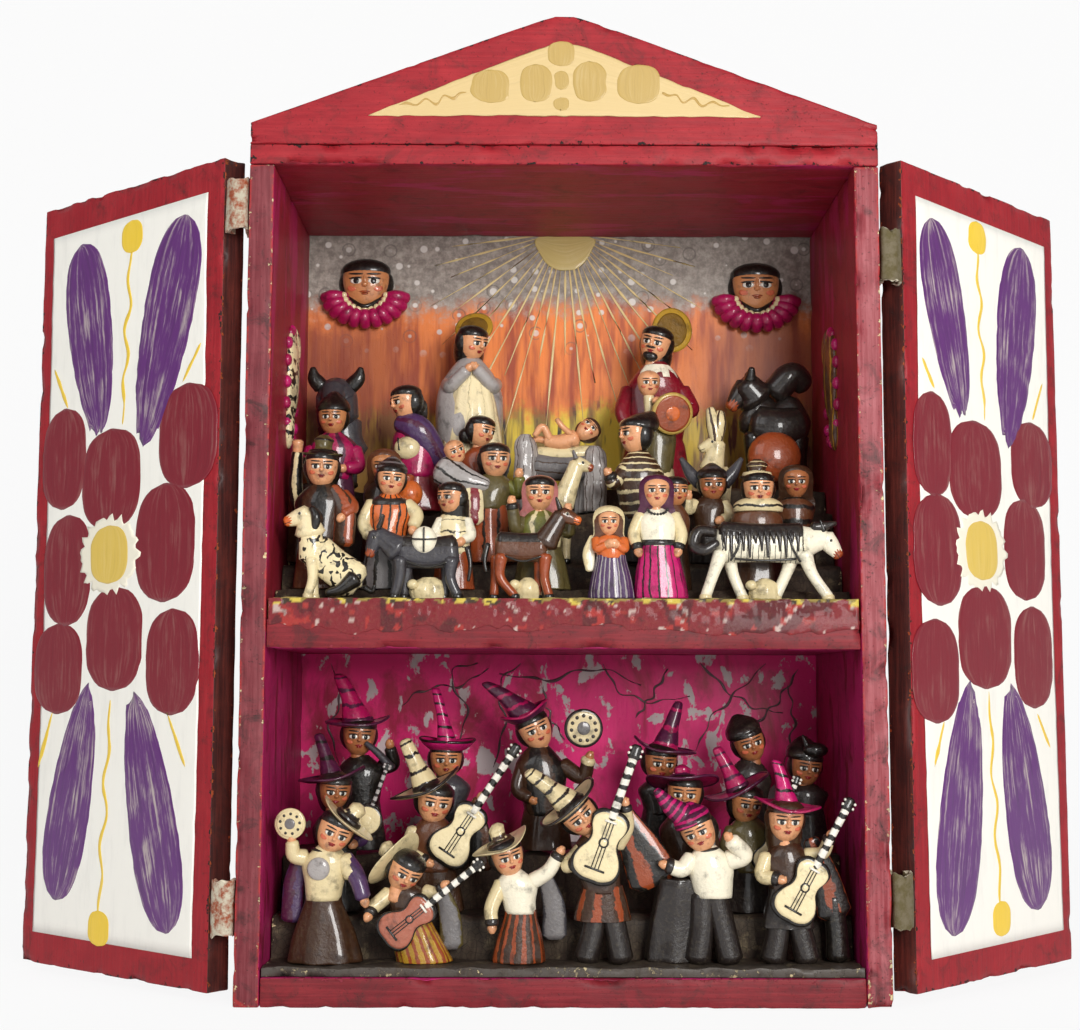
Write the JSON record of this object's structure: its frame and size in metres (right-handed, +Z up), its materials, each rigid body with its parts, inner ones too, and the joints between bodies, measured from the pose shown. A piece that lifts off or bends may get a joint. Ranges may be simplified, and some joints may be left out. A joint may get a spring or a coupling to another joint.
{
  "type": "retablo box",
  "caption": "Shallow gabled wooden altar box on two levels, with two painted doors on leather strips and crowded scenes of small moulded figures.",
  "frame": {"origin": "centre of the box's underside, midway between the front edges and the back face", "axes": "+Z up, open front faces -Y, +X to the right when facing the open front"},
  "size_m": [0.3712, 0.0927, 0.3185],
  "materials": {
    "crimson_wood": "painted, rubbed edges",
    "flowered_door": "painted with flowers on cream, crimson rim",
    "raw_leather": "raw, frayed",
    "paste_ground": "rough dried paste, crackled paint",
    "painted_paste": "hand-painted and varnished"
  },
  "bodies": {
    "box": {"back_panel": "crimson_wood", "back_singers": "painted_paste", "banjo_player": "painted_paste", "bearded_father": "painted_paste", "black_hat_man": "painted_paste", "black_ox": "painted_paste", "bottom_board": "crimson_wood", "brown_calf": "painted_paste", "brown_hat_shepherd": "painted_paste", "caped_guitarist": "painted_paste", "cherubs": "painted_paste", "cream_bull": "painted_paste", "cream_shirt_dancer": "painted_paste", "drummer": "painted_paste", "far_guitarist": "painted_paste", "flat_hat_woman": "painted_paste", "flute_player": "painted_paste", "gable": "crimson_wood", "girl_in_veil": "painted_paste", "grey_donkey": "painted_paste", "high_tambourine_player": "painted_paste", "hinge_straps_left": "raw_leather", "hinge_straps_right": "raw_leather", "horned_ox": "painted_paste", "kneeling_woman": "painted_paste", "knit_cap_man": "painted_paste", "knit_hat_dancer": "painted_paste", "long_haired_woman": "painted_paste", "lower_ground": "paste_ground", "manger": "painted_paste", "manger_child": "painted_paste", "manger_lamb": "painted_paste", "mother_with_child": "painted_paste", "olive_hat_shepherd": "painted_paste", "onlookers_left": "painted_paste", "onlookers_right": "painted_paste", "pink_scarf_woman": "painted_paste", "praying_mother": "painted_paste", "purple_hat_singer": "painted_paste", "purple_shawl_woman": "painted_paste", "resting_sheep": "painted_paste", "right_guitarist": "painted_paste", "shelf_board": "crimson_wood", "side_wall_left": "crimson_wood", "side_wall_right": "crimson_wood", "spotted_dog": "painted_paste", "squatting_guitarist": "painted_paste", "striped_poncho_shepherd": "painted_paste", "tall_eared_llama": "painted_paste", "tall_hat_guitarist": "painted_paste", "tambourine_singer": "painted_paste", "thin_hat_woman": "painted_paste", "top_board": "crimson_wood", "upper_ground": "paste_ground", "wall_reliefs": "painted_paste", "woman_in_pink_skirt": "painted_paste"},
    "door_left": {"door_left": "flowered_door"},
    "door_right": {"door_right": "flowered_door"}
  },
  "joints": [
    {"name": "door_left_swing", "type": "hinge", "parent": "box", "child": "door_left", "pos_m": [-0.10765, -0.04565, 0.1378], "axis": [0, 0, 1], "range_deg": [-12, 220], "deforming": ["hinge_straps_left"]},
    {"name": "door_right_swing", "type": "hinge", "parent": "box", "child": "door_right", "pos_m": [0.10765, -0.04565, 0.1378], "axis": [0, 0, -1], "range_deg": [-7, 225], "deforming": ["hinge_straps_right"]}
  ]
}
